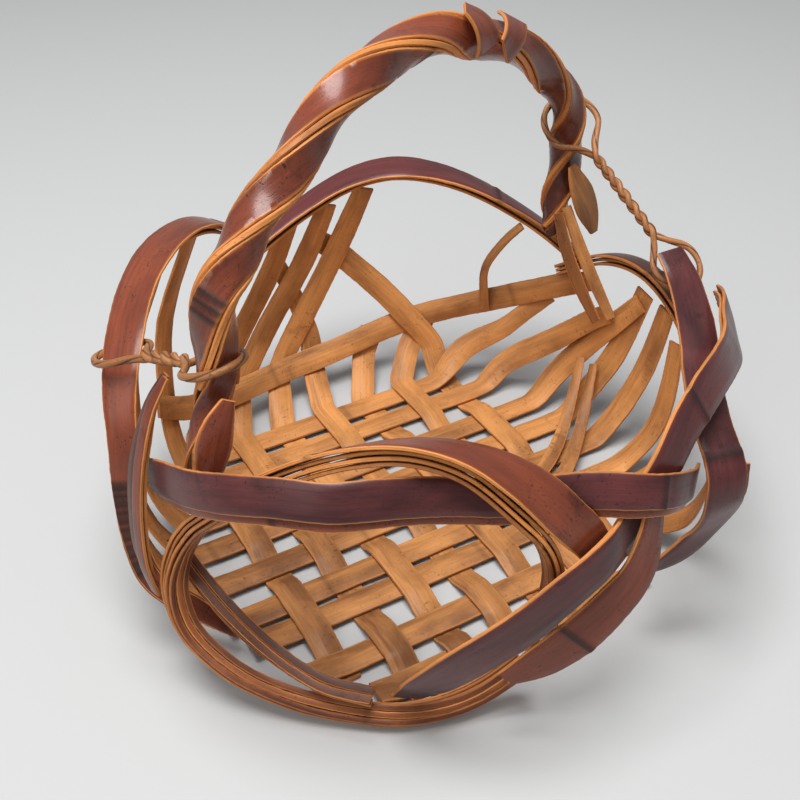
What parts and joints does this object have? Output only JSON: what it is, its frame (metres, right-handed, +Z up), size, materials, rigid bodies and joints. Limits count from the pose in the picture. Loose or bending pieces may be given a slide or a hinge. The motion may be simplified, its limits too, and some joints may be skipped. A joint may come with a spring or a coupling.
{
  "type": "handled bamboo basket",
  "caption": "Low round basket plaited from smoked bamboo strips, with looped rim bundles and a tall twisted handle tied with rattan.",
  "frame": {"origin": "on the table plane, under the middle of the round floor", "axes": "+Z up through the mouth; the handle's span runs close to X; the front loop of the rim faces -X -Y"},
  "size_m": [0.2362, 0.2363, 0.1944],
  "materials": {
    "bamboo_smoked_skin": "satin",
    "bamboo_inner_face": "matte",
    "bamboo_split_edge": "matte",
    "rattan": "satin"
  },
  "bodies": {
    "root": {"floor_long_1": "bamboo_inner_face", "floor_long_2": "bamboo_inner_face", "floor_long_3": "bamboo_inner_face", "floor_long_4": "bamboo_inner_face", "floor_long_5": "bamboo_inner_face", "floor_long_6": "bamboo_inner_face", "floor_long_7": "bamboo_inner_face", "floor_long_8": "bamboo_inner_face", "floor_long_9": "bamboo_inner_face", "wall_weaver": "bamboo_inner_face", "floor_cross_1": "bamboo_inner_face", "floor_cross_2": "bamboo_inner_face", "floor_cross_3": "bamboo_inner_face", "floor_cross_4": "bamboo_inner_face", "floor_cross_5": "bamboo_inner_face", "floor_cross_6": "bamboo_inner_face", "floor_cross_7": "bamboo_inner_face", "front_loop_1": "bamboo_smoked_skin", "front_loop_2": "bamboo_split_edge", "front_loop_3": "bamboo_split_edge", "front_loop_4": "bamboo_split_edge", "front_sweep_1": "bamboo_split_edge", "front_sweep_2": "bamboo_split_edge", "front_sweep_3": "bamboo_split_edge", "front_band": "bamboo_smoked_skin", "front_band_under": "bamboo_split_edge", "left_loop_1": "bamboo_smoked_skin", "left_loop_2": "bamboo_split_edge", "left_loop_3": "bamboo_split_edge", "left_leaf_1": "bamboo_smoked_skin", "left_leaf_2": "bamboo_smoked_skin", "back_loop_1": "bamboo_smoked_skin", "back_loop_2": "bamboo_split_edge", "back_loop_3": "bamboo_split_edge", "right_back_loop_1": "bamboo_smoked_skin", "right_back_loop_2": "bamboo_split_edge", "right_back_loop_3": "bamboo_split_edge", "right_outer": "bamboo_smoked_skin", "right_outer_twin": "bamboo_split_edge", "right_bulge": "bamboo_smoked_skin", "right_bulge_twin": "bamboo_split_edge", "right_lower": "bamboo_smoked_skin", "handle_wrap_1": "bamboo_smoked_skin", "handle_wrap_2": "bamboo_smoked_skin", "handle_wrap_3": "bamboo_smoked_skin", "handle_fin_1": "bamboo_split_edge", "handle_fin_2": "bamboo_split_edge", "handle_fin_3": "bamboo_split_edge", "handle_end_1": "bamboo_smoked_skin", "handle_end_2": "bamboo_smoked_skin", "handle_foot_left": "bamboo_smoked_skin", "handle_foot_right": "bamboo_split_edge", "handle_brace_1": "bamboo_split_edge", "handle_brace_2": "bamboo_split_edge", "inner_brace_1": "bamboo_split_edge", "inner_brace_2": "bamboo_split_edge", "tendril": "bamboo_inner_face", "tie_left": "rattan", "tie_right": "rattan"}
  },
  "joints": []
}
